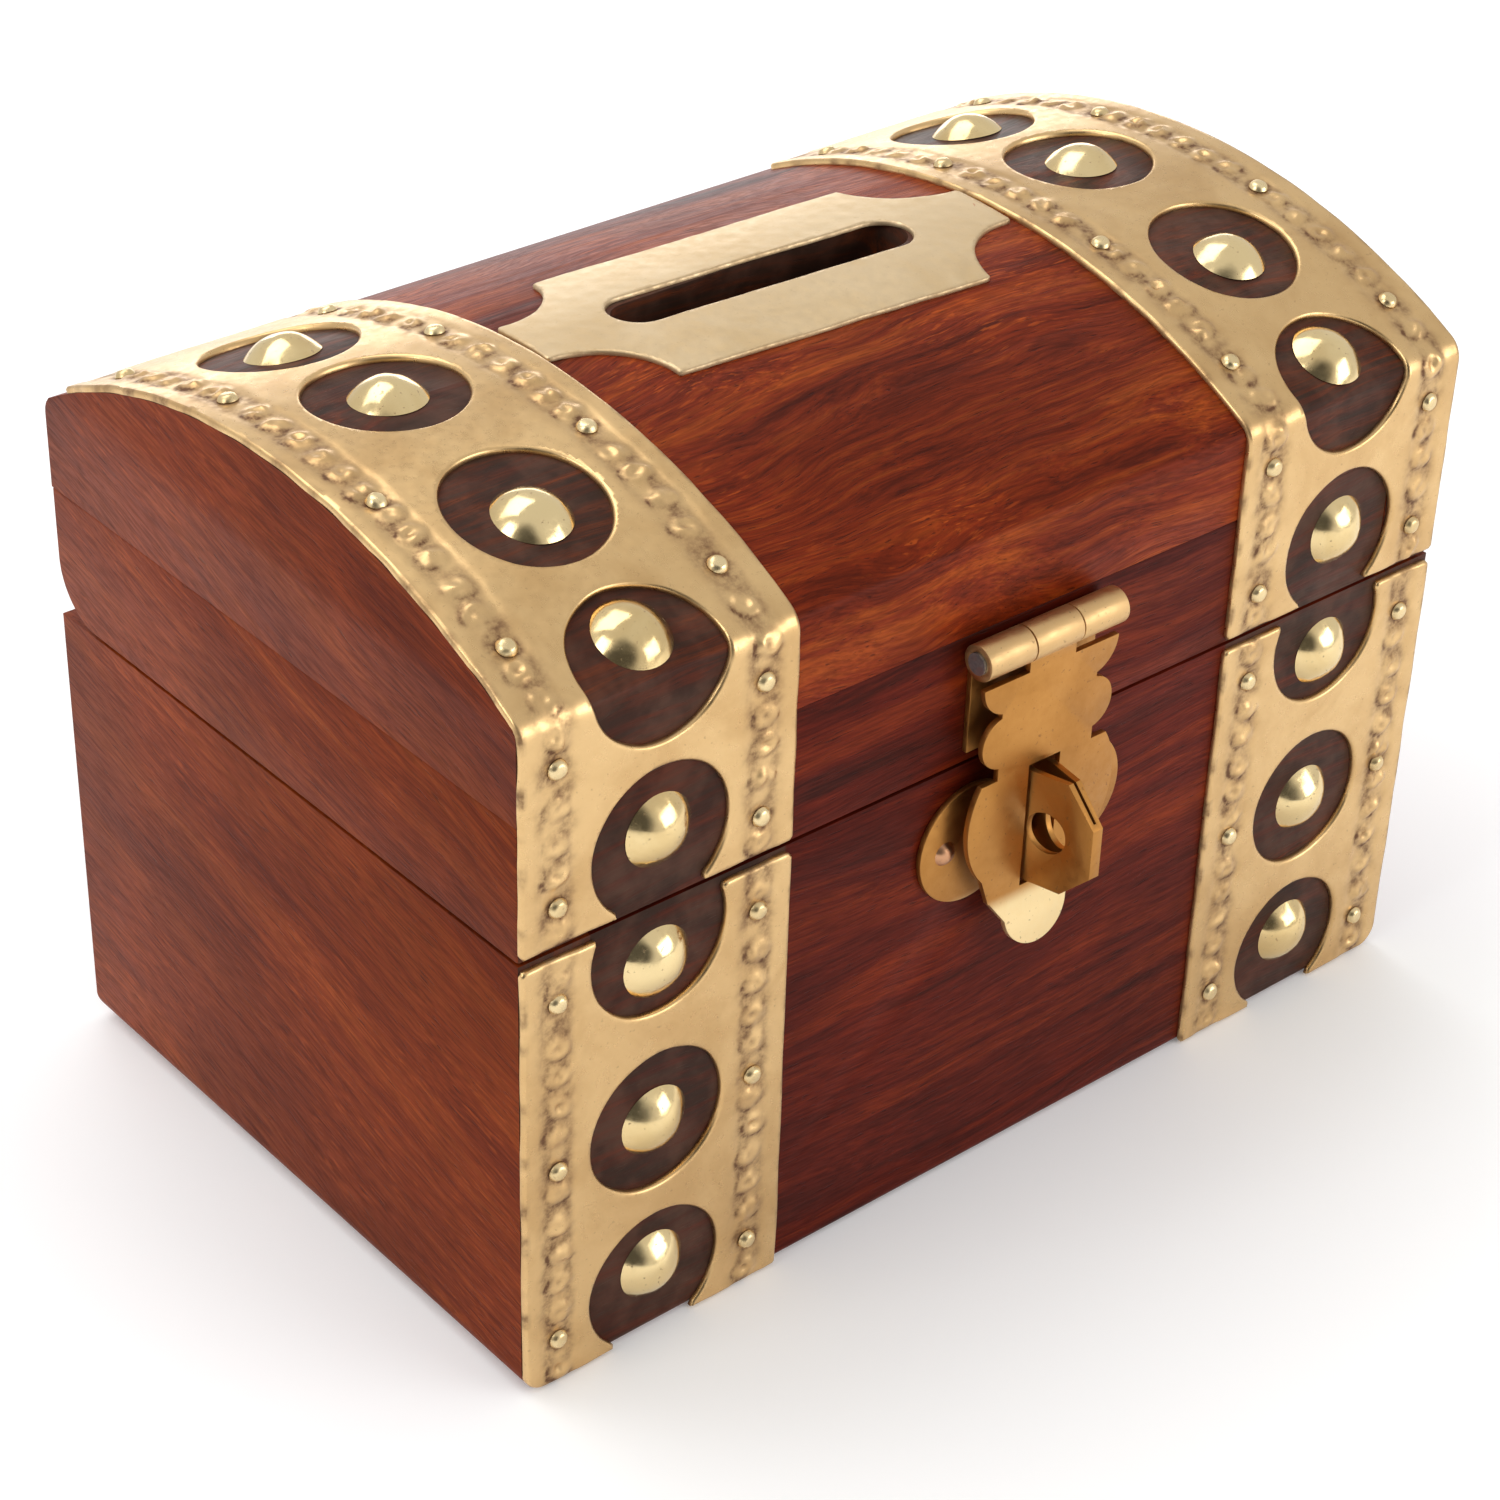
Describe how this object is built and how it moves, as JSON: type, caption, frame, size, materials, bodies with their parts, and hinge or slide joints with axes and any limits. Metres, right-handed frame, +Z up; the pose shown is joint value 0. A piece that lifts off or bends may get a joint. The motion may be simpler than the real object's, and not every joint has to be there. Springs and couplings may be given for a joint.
{
  "type": "donation box",
  "caption": "Small wooden donation box shaped like a domed chest, with a coin slot in the hinged lid, brass strapping with domed nails, and a hasp and staple for a padlock.",
  "frame": {"origin": "centre of the flat underside of the box", "axes": "+Z up, +X along the box's length to its right end, the front with the hasp faces -Y"},
  "size_m": [0.15, 0.1086, 0.1083],
  "materials": {
    "red_wood": "satin lacquered rosewood with dark grain",
    "dark_wood": "satin lacquered rosewood, darker",
    "pale_brass": "satin hand-worked sheet with dark patina in the hollows",
    "bright_brass": "polished",
    "antique_brass": "matte antique",
    "copper_brass": "dull, coppery",
    "steel": "dull"
  },
  "bodies": {
    "box": {"box_front_panel": "red_wood", "box_back_panel": "red_wood", "box_left_panel": "red_wood", "box_right_panel": "red_wood", "box_base_panel": "dark_wood", "box_base_brads": "steel", "box_strap_left": "pale_brass", "box_strap_right": "pale_brass", "box_dome_nails": "bright_brass", "box_strap_pins": "bright_brass", "staple_plate": "antique_brass", "staple": "antique_brass", "staple_plate_rivets": "copper_brass", "hinge_left_box_leaf": "antique_brass", "hinge_left_pin": "steel", "hinge_right_box_leaf": "antique_brass", "hinge_right_pin": "steel", "hinge_box_screws": "steel"},
    "lid": {"lid_front_rail": "dark_wood", "lid_back_rail": "dark_wood", "lid_left_rail": "dark_wood", "lid_right_rail": "dark_wood", "lid_top_panel": "red_wood", "slot_plate": "pale_brass", "slot_plate_pins": "bright_brass", "lid_strap_left": "pale_brass", "lid_strap_right": "pale_brass", "lid_dome_nails": "bright_brass", "lid_strap_pins": "bright_brass", "hasp_leaf": "antique_brass", "hasp_leaf_nails": "antique_brass", "hasp_hinge_pin": "steel", "hinge_left_lid_leaf": "antique_brass", "hinge_right_lid_leaf": "antique_brass", "hinge_lid_screws": "steel"},
    "hasp": {"hasp_plate": "antique_brass"}
  },
  "joints": [
    {"name": "lid_hinge", "type": "hinge", "parent": "box", "child": "lid", "pos_m": [0, 0.0456, 0.063], "axis": [-1, 0, 0], "range_deg": [0, 100]},
    {"name": "hasp_swing", "type": "hinge", "parent": "lid", "child": "hasp", "pos_m": [0.0012, -0.0502, 0.0788], "axis": [-1, 0, 0], "range_deg": [0, 170]}
  ]
}
